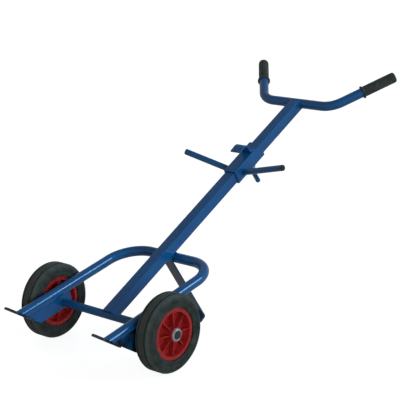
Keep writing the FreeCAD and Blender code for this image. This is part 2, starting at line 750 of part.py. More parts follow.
def make_lock():
    """Clamp screw: welded nut, pad, screw and tee bar, on an axis through the sleeve's back."""
    facing = Placement(Vector(), Rotation(Vector(1, 0, 0), 180))
    axis = pitched(SPINE, y="sizes.sleeve_along + sizes.lock_on_sleeve") * facing

    def out(distance):
        return axis * Placement(Vector(0, 0, size(distance)), Rotation())

    back = f"({SLEEVE_SIDE} / 2)"
    blank = primitive("Prism", "lock_nut_blank", Circumradius="sizes.lock_nut_side",
                      Height="sizes.lock_nut_height")
    blank.Polygon = 6
    blank.Placement = out(back)
    hole = primitive("Cylinder", "lock_nut_hole",
                     Radius="sizes.lock_screw_radius + sizes.running_gap",
                     Height="sizes.lock_nut_height + 2 * sizes.overrun")
    hole.Placement = out(f"{back} - sizes.overrun")
    recess = primitive("Cylinder", "lock_nut_recess", Radius=PAD_HOLE,
                       Height="sizes.lock_nut_recess + sizes.overrun")
    recess.Placement = out(f"{back} - sizes.overrun")
    subparts.append(cut("lock_nut", cut("lock_nut_drilled", blank, hole), recess))
    pad_start = "(sizes.spine_side / 2 + sizes.lock_contact_gap)"
    pad_end = f"({pad_start} + sizes.lock_pad_thickness)"
    shoe = new_body("clamp_pad")
    disc = new_sketch(shoe, "XY_Plane", pad_start)
    circle(disc, "sizes.lock_pad_radius")
    pad(shoe, disc, "sizes.lock_pad_thickness")
    shoe.Placement = axis
    turn = Rotation(Vector(0, 0, 1), size("sizes.lock_bar_turn"))
    lying = Rotation(Vector(0, 1, 0), 90)
    bar_frame = out("sizes.lock_bar_reach") * Placement(Vector(), turn * lying)
    shank = primitive("Cylinder", "lock_screw_shank", Radius="sizes.lock_screw_radius",
                      Height=f"sizes.lock_bar_reach - {pad_end}")
    shank.Placement = out(pad_end)
    saddle = primitive("Cylinder", "lock_screw_saddle", Radius="sizes.lock_bar_radius",
                       Height="2 * sizes.lock_bar_half")
    saddle.Placement = bar_frame * Placement(Vector(0, 0, -size("sizes.lock_bar_half")), Rotation())
    subparts.append(cut("lock_screw", shank, saddle))
    bar = new_body("lock_tee_bar")
    nose = "sizes.lock_bar_radius - sizes.lock_bar_bevel"
    revolve(bar, mirrored_outline([
        ("0", "sizes.lock_bar_half"), (nose, "sizes.lock_bar_half"),
        ("sizes.lock_bar_radius", "sizes.lock_bar_half - sizes.lock_bar_bevel")]))
    bar.Placement = bar_frame


def check_document():
    """Stop if any object failed or any sub-part has no sound shape."""
    for item in doc.Objects:
        if {"Invalid", "Error"} & set(item.State):
            raise RuntimeError(f"{item.Name} failed: {item.State}")
    for item in subparts:
        if item.Shape.isNull() or not item.Shape.isValid():
            raise RuntimeError(f"{item.Label} has no sound shape")


def set_down():
    """Move every sub-part so that the origin is at the middle of the trolley's base."""
    box = FreeCAD.BoundBox()
    for item in subparts:
        box.add(item.Shape.optimalBoundingBox(False, False))
    shift = Placement(Vector(-box.Center.x, -box.Center.y, -box.ZMin), Rotation())
    for item in subparts:
        item.Placement = shift * item.Placement
    doc.recompute()
    print("moved by", shift.Base)


def main():
    make_spine()
    hoop_level = make_hoop()
    make_side_plates(hoop_level)
    make_toes(hoop_level)
    make_leg()
    make_handle()
    make_axle()
    make_axle_fittings()
    make_wheels()
    make_sleeve()
    make_hook()
    make_arms()
    make_lock()
    doc.recompute()
    check_document()
    set_down()
    check_document()
    os.makedirs("parts", exist_ok=True)
    for item in subparts:
        item.Shape.exportStep(f"parts/{item.Label}.step")
    print(len(subparts), "sub-parts written")


main()
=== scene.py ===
import json
import math

import bmesh
import bpy
from mathutils import Matrix, Vector


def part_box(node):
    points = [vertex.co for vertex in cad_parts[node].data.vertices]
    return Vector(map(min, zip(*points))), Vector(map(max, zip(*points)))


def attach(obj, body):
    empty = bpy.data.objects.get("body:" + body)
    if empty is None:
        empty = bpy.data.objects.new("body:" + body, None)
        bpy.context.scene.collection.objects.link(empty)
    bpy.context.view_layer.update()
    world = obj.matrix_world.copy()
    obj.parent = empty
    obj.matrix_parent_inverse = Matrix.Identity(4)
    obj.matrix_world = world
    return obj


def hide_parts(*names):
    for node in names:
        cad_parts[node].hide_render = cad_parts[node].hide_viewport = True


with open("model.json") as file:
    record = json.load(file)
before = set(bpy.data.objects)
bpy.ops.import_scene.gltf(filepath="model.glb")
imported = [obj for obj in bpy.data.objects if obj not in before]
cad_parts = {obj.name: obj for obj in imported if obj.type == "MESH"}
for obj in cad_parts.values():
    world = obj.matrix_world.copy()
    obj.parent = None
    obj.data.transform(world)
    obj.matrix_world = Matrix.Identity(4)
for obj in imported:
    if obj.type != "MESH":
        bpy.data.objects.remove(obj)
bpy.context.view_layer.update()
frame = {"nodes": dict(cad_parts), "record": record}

bl_info = {
    "name": "Drum Trolley",
    "version": (1, 0, 0),
    "blender": (4, 5, 0),
    "location": "3D View > Sidebar > Trolley",
    "description": "Dresses a two-wheeled drum trolley in enamel, welds, rubber, plastic and zinc",
    "category": "Object",
}

MM = 0.001
MERGE = 0.01 * MM  # points closer than this are one point
NEAR = 0.2 * MM  # a point this close to a face lies on it
TRIM = 0.001 * MM  # a point this close to a cutting plane lies on it
CROSS = Vector((1, 0, 0))  # along the axle, to the trolley's right
SIDES = (("left", -1), ("right", 1))

# Edges of plate and bar: faces that turn less are one face, edges that turn more are cut edges.
FLAT, CUT = math.radians(0.5), math.radians(40)
CREASE = math.radians(30)  # a moulded edge that turns more than this stays sharp

# Welds, as shares of a full bead.
SLIM = 0.9  # on plate, the axle and the nut
SLIMMEST = 0.8  # round the arms
RIPPLE_HEIGHT = 0.75  # of one ripple, along its bead

# Outlines: mm out from a grip and up from its tube's end, mm out from the axle and up from the
# ring's seat, and shares of a thread's depth and pitch.
GRIP_NOSE = ((0, -1.2), (-0.7, 1.2), (-2.4, 3.0), (-5.0, 3.9))
RING_OUTLINE = ((12.8, 0.5), (13.3, 2.4), (14.2, 3.0), (15.2, 2.9), (16.3, 2.2), (17.0, 1.1),
                (17.2, 0), (16.4, 0), (15.8, 1.2), (14.9, 1.8), (14.0, 1.6), (13.5, 0.1))
THREAD_OUTLINE = ((0, 0), (0, 0.12), (1, 0.44), (1, 0.56), (0, 0.88), (0, 1))
THREAD_DEPTH = 0.61  # of the pitch
GRIP_STEPS, RING_STEPS, THREAD_STEPS = 36, 48, 20  # faces round one turn
DIAMOND_CUTS = 25  # along a grip

# Camera: its place in metres, with Y from the axle, and the way it looks.
EYE, LOOK = (2.676, -2.636, 1.334), (-0.6428, 0.7325, -0.2243)
LENS, SENSOR, CLIP = 117.9, 36, 200

# Lamps: the way to the lamp, its width in degrees and its power.
SIDE_LAMP = (0.92, -0.34, 0.05), 40, 2.4
SOFTBOX = (0.64, 0.54, 0.54), 20, 0.9
FILL_LAMP = (-0.75, 0.60, 0.15), 60, 1.5
ROOM_LOW, ROOM_HIGH = 0.4, 0.11  # light of the room from the horizon and from above
FLOOR_HALF = 80  # metres
FLOOR_GLOW = 0.9  # of white, before the lamps add to it
FLOOR_MIRRORED, ROOM_MIRRORED = 0.15, 0.02  # shares of white that a gloss shows


def colour(name, about, value):
    """Property that holds a colour as sRGB hex."""
    return bpy.props.StringProperty(name=name, description=about, default=value)


def length(name, about, value):
    """Property that holds a length, given in millimetres."""
    return bpy.props.FloatProperty(name=name, description=about, default=value * MM, unit="LENGTH")


def angle(name, about, value):
    """Property that holds an angle, given in degrees."""
    return bpy.props.FloatProperty(
        name=name, description=about, default=math.radians(value), subtype="ANGLE")


class TrolleyColours(bpy.types.PropertyGroup):
    """Colours of the trolley's finishes and of the stage."""
    paint: colour("Paint", "Blue stoving enamel of the frame", "0C5893")
    paint_deep: colour("Paint, deep", "The same enamel where it lies thicker", "0B5088")
    # The rear leg's darker enamel is painted shade, and its grey clouds are a painted reflection.
    leg: colour("Rear leg", "Enamel of the rear leg, dulled by floor dirt", "1D486C")
    leg_reflected_grey: colour("Rear leg, dirt", "Floor dirt on the rear leg", "293A49")
    axle: colour("Axle", "Enamel over the drawn axle bar", "12598F")
    # The dust colour is painted shade: it darkens the plates' outer faces beside the wheels, where
    # the wheels shade them.
    dust: colour("Wheel dust", "Rubber dust on the plates beside the wheels", "0F1A26")
    toe: colour("Bare steel", "Dark steel of the rubbed toes and the axle's ends", "5A666C")
    tyre: colour("Tyre", "Black cushion rubber", "232A28")
    tyre_dust: colour("Tyre bloom", "Grey bloom and dust on the rubber", "424B48")
    centre: colour("Wheel centre", "Red polypropylene", "A82527")
    centre_deep: colour("Wheel centre, deep", "Flow marks in the red", "921D1B")
    grip: colour("Grip", "Black soft vinyl", "262D2B")
    grip_worn: colour("Grip, worn", "Vinyl rubbed to a dull grey", "3D4544")
    plug: colour("Arm plug", "Black polyethylene of the arm plugs", "12181A")
    zinc: colour("Zinc", "Bright zinc plating", "C9CCCE")
    bush: colour("Bush", "Natural nylon", "D8D2C0")
    floor: colour("Floor", "Studio floor", "959595")
    softbox: colour("Softbox", "Cool light of the softbox", "BFE6FF")


class TrolleySizes(bpy.types.PropertyGroup):
    """Sizes of the trolley's small pieces, marks and patterns."""
    spine_angle: angle("Spine angle", "Rise of the spine", 30.3)
    hoop_angle: angle("Hoop angle", "Rise of the cradle hoop", 14.0)
    splay: angle("Handle splay", "Turn of the handle's legs out from the spine", 35.384)
    ease: length("Eased edge", "Rounding of the cut edges of plate and bar", 0.7)
    bead: length("Weld bead", "Radius of a weld bead", 2.6)
    ripple: length("Weld ripple", "Spacing of the ripples in a weld", 2.4)
    seam_inset: length("Seam inset", "Distance of a seam from the edge it follows", 1.0)
    seam_front: length("Seam front", "Distance of a hoop leg's seam from its plate's front", 3.0)
    seam_back: length("Seam back", "Distance of a hoop leg's seam from its plate's back", 2.0)
    seam_reach: length("Seam reach", "Depth under the spine where its seam meets the hoop", 2.5)
    seam_drop: length("Seam drop", "Depth of the hoop's seam under the spine", 1.5)
    nut_seam: length("Nut seam", "Radius of the weld round the nut", 13.2)
    pitch: length("Thread pitch", "Pitch of the clamp screw", 1.75)
    thread: length("Thread radius", "Outer radius of the clamp screw", 6.0)
    thread_stop: length("Thread stop", "Length of the screw that has no thread", 4.0)
    grip_radius: length("Grip radius", "Outer radius of a grip between its diamonds", 17.75)
    grip_bore: length("Grip bore", "Radius of a grip's mouth", 16.2)
    grip_length: length("Grip length", "Length of a grip", 124.0)
    grip_cap: length("Grip cap", "Thickness of a grip's closed end", 4.0)
    grip_plain: length("Grip root", "Length of a grip's mouth with no diamonds", 9.0)
    grip_nose: length("Grip nose", "Length of a grip's closed end with no diamonds", 3.0)
    diamond_gap: length("Diamond gap", "Half of the groove between two diamonds", 0.5)
    diamond_rise: length("Diamond rise", "Height of a diamond", 0.28)
    flange: length("Grip flange", "Outer radius of a grip's stop flange", 22.0)
    flange_thick: length("Flange thickness", "Thickness of a grip's stop flange", 6.0)
    flange_round: length("Flange rounding", "Rounding of a stop flange's rim", 2.0)
    flange_foot: length("Flange foot", "Fillet between a stop flange and its grip", 1.2)
    peel: length("Orange peel", "Width of the ripples in the enamel", 3.0)
    relief: length("Relief", "Depth of the finest marks in paint and plating", 0.1)
    scuff: length("Scuff", "Width of the scuffs on the toes", 12.0)
    cloud: length("Paint cloud", "Width of the slow changes of tone", 120.0)
    # Where the plates' painted shade from the wheels begins, and where it is full.
    shade_from: length("Dust from", "Depth under a plate's outer face where dust begins", 0.5)
    shade_full: length("Dust", "Depth under a plate's outer face from which dust is full", 0.2)
    rubber_grain: length("Rubber grain", "Width of the mould's grain in rubber and plastic", 1.2)
    rubber_relief: length("Rubber relief", "Depth of the marks of a tyre's mould", 0.25)
    plastic_relief: length("Plastic relief", "Depth of the grain of moulded plastic", 0.12)
    mould_ring: length("Mould rings", "Spacing of the turned rings in the tyre's mould", 2.6)
    tread_from: length("Tread from", "Radius where the grey of the tread begins", 104.0)
    tread_full: length("Tread", "Radius from which the tread is all grey", 114.0)
    flow: length("Flow marks", "Width of the flow marks in moulded plastic", 22.0)
    spangle: length("Zinc grain", "Width of the grain of the plating", 1.5)


def sizes():
    """The trolley's sizes."""
    return bpy.context.scene.trolley_sizes


def colours():
    """The trolley's colours."""
    return bpy.context.scene.trolley_colours


def linear(text, alpha=1.0):
    """Linear colour from an sRGB hex value."""
    parts = [int(text[i:i + 2], 16) / 255 for i in (0, 2, 4)]
    return [c / 12.92 if c <= 0.04045 else ((c + 0.055) / 1.055) ** 2.4 for c in parts] + [alpha]


def add(tree, kind, settings=None, **inputs):
    """Add a node: its settings by name, and its inputs as a value or as a socket to link."""
    node = tree.nodes.new(kind)
    for name, value in (settings or {}).items():
        setattr(node, name, value)
    for name, value in inputs.items():
        key = int(name[1:]) if name[0] == "_" else name.replace("_", " ")
        socket = node.inputs[key]
        if isinstance(value, bpy.types.NodeSocket):
            tree.links.new(value, socket)
        else:
            socket.default_value = value
    return node


def new_material(name):
    """Material with an empty tree, and the object coordinates in it."""
    material = bpy.data.materials.new(name)
    material.use_nodes = True
    tree = material.node_tree
    tree.nodes.clear()
    return material, tree, add(tree, "ShaderNodeTexCoord").outputs["Object"]


def ramp(node, *stops):
    """Set the stops of a colour ramp: place and colour pairs."""
    elements = node.color_ramp.elements
    while len(elements) < len(stops):
        elements.new(1.0)
    for element, (place, tint) in zip(elements, stops):
        element.position = place
        element.color = tint
    return node


def outwards(tree, place):
    """Socket with the distance out from the trolley's middle plane."""
    across = add(tree, "ShaderNodeSeparateXYZ", Vector=place)
    reach = add(tree, "ShaderNodeMath", {"operation": "ABSOLUTE"}, _0=across.outputs["X"])
    return reach.outputs[0]


def enamel(name, tint, deep, wheel_shade=None):
    """Stoving enamel sprayed on steel, with painted shade from the wheels on faces as far out as
    the given reach.
    """
    material, tree, place = new_material(name)
    # Sprayed and baked enamel is glossy, with a faint orange peel and slow changes of depth.
    cloud = add(tree, "ShaderNodeTexNoise", Vector=place, Scale=1 / sizes().cloud, Detail=3.0)
    depth, stops = cloud.outputs["Fac"], [(0.35, linear(deep)), (0.65, linear(tint))]
    if wheel_shade:
        # Painted shade: faces out to the given reach beside the wheels are darkened in clouds,
        # standing in for the wheels' shadow on them.
        wheel_shade_share = add(tree, "ShaderNodeMapRange", Value=outwards(tree, place),
                   From_Min=wheel_shade - sizes().shade_from, From_Max=wheel_shade - sizes().shade_full,
                   To_Max=0.42)
        shaded_depth = add(tree, "ShaderNodeMath", {"operation": "ADD"}, _0=depth, _1=wheel_shade_share.outputs[0])
        depth = shaded_depth.outputs[0]
        stops += [(0.74, linear(tint)), (0.86, linear(colours().dust))]
    tone = ramp(add(tree, "ShaderNodeValToRGB", Fac=depth), *stops)
    peel = add(tree, "ShaderNodeTexNoise", Vector=place, Scale=1 / sizes().peel, Detail=1.0)
    bump = add(tree, "ShaderNodeBump", Strength=0.015, Distance=sizes().relief,
               Height=peel.outputs["Fac"])
    gloss = add(tree, "ShaderNodeMapRange", Value=cloud.outputs["Fac"], To_Min=0.26, To_Max=0.36)
    skin = add(tree, "ShaderNodeBsdfPrincipled", Base_Color=tone.outputs["Color"], IOR=1.5,
               Roughness=gloss.outputs["Result"], Normal=bump.outputs["Normal"],
               Specular_IOR_Level=0.15, Coat_Weight=0.9, Coat_Roughness=0.05)
    add(tree, "ShaderNodeOutputMaterial", Surface=skin.outputs["BSDF"])
    return material


def journal(name, tint, steel, painted):
    """Enamel on a turned bar up to a length from its middle, and bare steel beyond it."""
    material, tree, place = new_material(name)
    # The axle is sprayed with the frame, and its ends in the wheels are bright turned steel.
    bare = add(tree, "ShaderNodeMath", {"operation": "GREATER_THAN"}, _0=outwards(tree, place),
               _1=painted)
    tone = ramp(add(tree, "ShaderNodeValToRGB", Fac=bare.outputs[0]),
                (0.0, linear(tint)), (1.0, linear(steel)))
    grain = add(tree, "ShaderNodeTexNoise", Vector=place, Scale=1 / sizes().peel, Detail=3.0)
    gloss = add(tree, "ShaderNodeMapRange", Value=grain.outputs["Fac"], To_Min=0.24, To_Max=0.42)
    bump = add(tree, "ShaderNodeBump", Strength=0.03, Distance=sizes().relief,
               Height=grain.outputs["Fac"])
    skin = add(tree, "ShaderNodeBsdfPrincipled", Base_Color=tone.outputs["Color"],
               Metallic=bare.outputs[0], Roughness=gloss.outputs["Result"],
               Normal=bump.outputs["Normal"])
    add(tree, "ShaderNodeOutputMaterial", Surface=skin.outputs["BSDF"])
    return material


def rubbed(name, tint, steel):
    """Enamel rubbed through to the steel under it."""
    material, tree, place = new_material(name)
    # Loads that slide on the paint leave dark bare steel, with blue left in patches.
    scuff = add(tree, "ShaderNodeTexNoise", Vector=place, Scale=1 / sizes().scuff, Detail=6.0)
    bare = add(tree, "ShaderNodeMapRange", Value=scuff.outputs["Fac"], From_Min=0.34, From_Max=0.46)
    tone = ramp(add(tree, "ShaderNodeValToRGB", Fac=bare.outputs["Result"]),
                (0.0, linear(tint)), (1.0, linear(steel)))
    dull = add(tree, "ShaderNodeMapRange", Value=scuff.outputs["Fac"], To_Min=0.3, To_Max=0.5)
    bump = add(tree, "ShaderNodeBump", Strength=0.3, Distance=sizes().relief,
               Height=scuff.outputs["Fac"])
    skin = add(tree, "ShaderNodeBsdfPrincipled", Base_Color=tone.outputs["Color"],
               Metallic=bare.outputs["Result"], Roughness=dull.outputs["Result"],
               Normal=bump.outputs["Normal"])
    add(tree, "ShaderNodeOutputMaterial", Surface=skin.outputs["BSDF"])
    return material


def rubber(name, centre):
    """Cushion rubber cured in a turned mould, round a wheel's centre."""
    material, tree, place = new_material(name)
    # Cured rubber is matt black with a grey bloom, greyer on the tread, and keeps the fine rings
    # of its turned mould.
    spot = add(tree, "ShaderNodeMapping", Vector=place, Location=-centre)
    flat = add(tree, "ShaderNodeVectorMath", {"operation": "MULTIPLY"}, _0=spot.outputs[0],
               _1=(0, 1, 1))
    reach = add(tree, "ShaderNodeVectorMath", {"operation": "LENGTH"}, _0=flat.outputs[0])
    turns = add(tree, "ShaderNodeMath", {"operation": "MULTIPLY"}, _0=reach.outputs["Value"],
                _1=2 * math.pi / sizes().mould_ring)
    rings = add(tree, "ShaderNodeMath", {"operation": "SINE"}, _0=turns.outputs[0])
    bloom = add(tree, "ShaderNodeTexNoise", Vector=place, Scale=1 / sizes().flow, Detail=5.0)
    tread = add(tree, "ShaderNodeMapRange", Value=reach.outputs["Value"],
                From_Min=sizes().tread_from, From_Max=sizes().tread_full, To_Max=0.4)
    dust = add(tree, "ShaderNodeMath", {"operation": "ADD"}, _0=bloom.outputs["Fac"],
               _1=tread.outputs["Result"])
    tone = ramp(add(tree, "ShaderNodeValToRGB", Fac=dust.outputs[0]),
                (0.38, linear(colours().tyre)), (0.9, linear(colours().tyre_dust)))
    grain = add(tree, "ShaderNodeTexNoise", Vector=place, Scale=1 / sizes().rubber_grain,
                Detail=2.0)
    height = add(tree, "ShaderNodeMath", {"operation": "MULTIPLY_ADD"}, _0=rings.outputs[0],
                 _1=0.25, _2=grain.outputs["Fac"])
    bump = add(tree, "ShaderNodeBump", Strength=0.3, Distance=sizes().rubber_relief,
               Height=height.outputs[0])
    matt = add(tree, "ShaderNodeMapRange", Value=bloom.outputs["Fac"], To_Min=0.5, To_Max=0.75)
    skin = add(tree, "ShaderNodeBsdfPrincipled", Base_Color=tone.outputs["Color"], IOR=1.52,
               Roughness=matt.outputs["Result"], Normal=bump.outputs["Normal"],
               Specular_IOR_Level=0.3)
    add(tree, "ShaderNodeOutputMaterial", Surface=skin.outputs["BSDF"])
    return material


def moulded(name, tint, deep, rough):
    """Injection-moulded plastic."""
    material, tree, place = new_material(name)
    # Moulded plastic is satin, with flow marks and the fine spark grain of its tool.
    flow = add(tree, "ShaderNodeTexNoise", Vector=place, Scale=1 / sizes().flow, Detail=4.0,
               Distortion=0.6)
    tone = ramp(add(tree, "ShaderNodeValToRGB", Fac=flow.outputs["Fac"]),
                (0.35, linear(deep)), (0.65, linear(tint)))
    grain = add(tree, "ShaderNodeTexNoise", Vector=place, Scale=1 / sizes().rubber_grain,
                Detail=1.0)
    bump = add(tree, "ShaderNodeBump", Strength=0.12, Distance=sizes().plastic_relief,
               Height=grain.outputs["Fac"])
    satin = add(tree, "ShaderNodeMapRange", Value=flow.outputs["Fac"], To_Min=rough - 0.06,
                To_Max=rough + 0.08)
    skin = add(tree, "ShaderNodeBsdfPrincipled", Base_Color=tone.outputs["Color"], IOR=1.49,
               Roughness=satin.outputs["Result"], Normal=bump.outputs["Normal"],
               Specular_IOR_Level=0.55)
    add(tree, "ShaderNodeOutputMaterial", Surface=skin.outputs["BSDF"])
    return material


def zinc_plate():
    """Bright zinc plating on steel."""
    material, tree, place = new_material("bright_zinc_plate")
    # Barrel plating leaves a grey metal with a soft grain, an uneven gloss and a pale dull film.
    grain = add(tree, "ShaderNodeTexNoise", Vector=place, Scale=1 / sizes().spangle, Detail=4.0)
    gloss = add(tree, "ShaderNodeMapRange", Value=grain.outputs["Fac"], To_Min=0.28, To_Max=0.45)
    bump = add(tree, "ShaderNodeBump", Strength=0.1, Distance=sizes().relief,
               Height=grain.outputs["Fac"])
    skin = add(tree, "ShaderNodeBsdfPrincipled", Base_Color=linear(colours().zinc), Metallic=0.7,
               Roughness=gloss.outputs["Result"], Normal=bump.outputs["Normal"])
    add(tree, "ShaderNodeOutputMaterial", Surface=skin.outputs["BSDF"])
    return material


def dress(nodes, material):
    """Give CAD nodes a material."""
    for name in nodes:
        for slot in frame["nodes"][name].material_slots:
            slot.material = material


def nodes_in(slot):
    """Names of the CAD nodes of a material slot of the record."""
    return [part["node"] for part in frame["record"]["subparts"] if part["material_slot"] == slot]


def middle(node):
    """Middle of a CAD node's box."""
    low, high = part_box(node)
    return (Vector(low) + Vector(high)) / 2


def points_of(node, inside):
    """Vertices of a CAD node, taken into a frame by the frame's inverse."""
    return [inside @ vertex.co for vertex in frame["nodes"][node].data.vertices]


AXLE = middle("axle_bar")


def pitched(rise):
    """Frame at the axle's middle, turned up about the axle."""
    return Matrix.Translation(AXLE) @ Matrix.Rotation(rise, 4, "X")


def aimed(way, axis="Z"):
    """Turn that brings an axis to point along a way."""
    return way.to_track_quat(axis, "Y").to_matrix().to_4x4()


def finish(shape, name, body, material, replaced=()):
    """Make a piece of a shape: it rides on a body and may stand for CAD nodes."""
    mesh = bpy.data.meshes.new(name)
    shape.to_mesh(mesh)
    shape.free()
    mesh.materials.append(material)
    piece = bpy.data.objects.new(name, mesh)
    bpy.context.scene.collection.objects.link(piece)
    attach(piece, body)
    if replaced:
        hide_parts(*replaced)
    return piece


def smooth(shape):
    """Shade all of a shape's faces smooth."""
    for face in shape.faces:
        face.smooth = True


def ease(node, body, material):
    """Copy of a CAD node of plate or bar with its cut edges eased, as linishing leaves them."""
    shape = bmesh.new()
    shape.from_mesh(frame["nodes"][node].data)
    bmesh.ops.remove_doubles(shape, verts=shape.verts, dist=MERGE)
    bmesh.ops.dissolve_limit(shape, angle_limit=FLAT, verts=shape.verts, edges=shape.edges)
    sharp = [edge for edge in shape.edges if edge.calc_face_angle(0) > CUT]
    bmesh.ops.bevel(shape, geom=sharp, offset=sizes().ease, offset_type="OFFSET", affect="EDGES",
                    segments=2, profile=0.5, material=-1, clamp_overlap=True)
    smooth(shape)
    piece = finish(shape, f"{node}_eased", body, material, [node])
    weighted = piece.modifiers.new("flat_faces", "WEIGHTED_NORMAL")
    weighted.weight = 100


def revolve(shape, outline, steps, closed=False, turns=1, pitch=0.0):
    """Turn a chain of points about Z: a full ring, or a screw where a pitch is given."""
    points = [shape.verts.new(point) for point in outline]
    chain = [shape.edges.new(pair) for pair in zip(points, points[1:])]
    if closed:
        chain.append(shape.edges.new((points[-1], points[0])))
    bmesh.ops.spin(shape, geom=points + chain, cent=(0, 0, 0), axis=(0, 0, 1),
                   dvec=(0, 0, pitch / steps), angle=2 * math.pi * turns, steps=steps * turns,
                   use_merge=not pitch)


def drop(shape, place, heading, width):
    """One ripple of a weld, flattened along its heading."""
    radius = sizes().bead * width
    squash = Matrix.Diagonal((radius, radius, radius * RIPPLE_HEIGHT, 1))
    bmesh.ops.create_uvsphere(shape, u_segments=8, v_segments=5, radius=1,
                              matrix=Matrix.Translation(place) @ aimed(heading) @ squash)


def lay_bead(shape, start, end, width=1.0):
    """Straight weld bead from one point to another: a row of ripples that overlap."""
    run = end - start
    count = max(1, round(run.length / sizes().ripple))
    for number in range(count + 1):
        drop(shape, start + run * number / count, run, width)


def lay_across(shape, place, half, along, level, width=1.0):
    """Straight weld bead across a frame's middle."""
    lay_bead(shape, place @ Vector((-half, along, level)), place @ Vector((half, along, level)),
             width)


def lay_round(shape, place, half, ends, level, width=1.0):
    """Weld beads round a rectangle: across its two ends, then along its two sides."""
    for end in ends:
        lay_across(shape, place, half, end, level, width)
    for side in (-half, half):
        start, end = (place @ Vector((side, along, level)) for along in ends)
        lay_bead(shape, start, end, width)


def lay_ring(shape, centre, axis, radius, begin=0.0, sweep=2 * math.pi, width=1.0, upright=None):
    """Weld bead round a bar, over a part of a turn that starts from upright."""
    upright = upright or axis.orthogonal()
    upright = (upright - upright.project(axis)).normalized() * radius
    count = max(6, round(radius * sweep / sizes().ripple))
    for number in range(count + 1):
        arm = Matrix.Rotation(begin + sweep * number / count, 3, axis) @ upright
        drop(shape, centre + arm, axis.cross(arm), width)


class TROLLEY_OT_enamel(bpy.types.Operator):
    """Paint the steel members, and ease the cut edges of plate and bar"""
    bl_idname = "trolley.enamel"
    bl_label = "Paint Steel"

    def execute(self, context):
        paint = enamel("blue_stoving_enamel", colours().paint, colours().paint_deep)
        dress(nodes_in("paint"), paint)
        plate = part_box("side_plate_right")[1][0]
        steel = journal("enamel_on_turned_steel", colours().axle, colours().toe, plate)
        dress(["axle_bar"], steel)
        # The side plates get painted shade beside the wheels.
        wheel_shade = enamel("blue_enamel_with_wheel_shade", colours().paint, colours().paint_deep, plate)
        for node in ("side_plate_left", "side_plate_right"):
            ease(node, "frame", wheel_shade)
        toe = rubbed("rubbed_enamel_on_steel", colours().paint_deep, colours().toe)
        for node in ("toe_left", "toe_right"):
            ease(node, "frame", toe)
        # The rear leg gets a darker, greyer enamel: painted shade with a painted reflection.
        shaded_leg_enamel = enamel("blue_enamel_painted_leg_shade", colours().leg, colours().leg_reflected_grey)
        ease("rear_leg", "frame", shaded_leg_enamel)
        for node in ("chime_hook", "hook_sleeve"):
            ease(node, "hook_slide", paint)
        return {"FINISHED"}


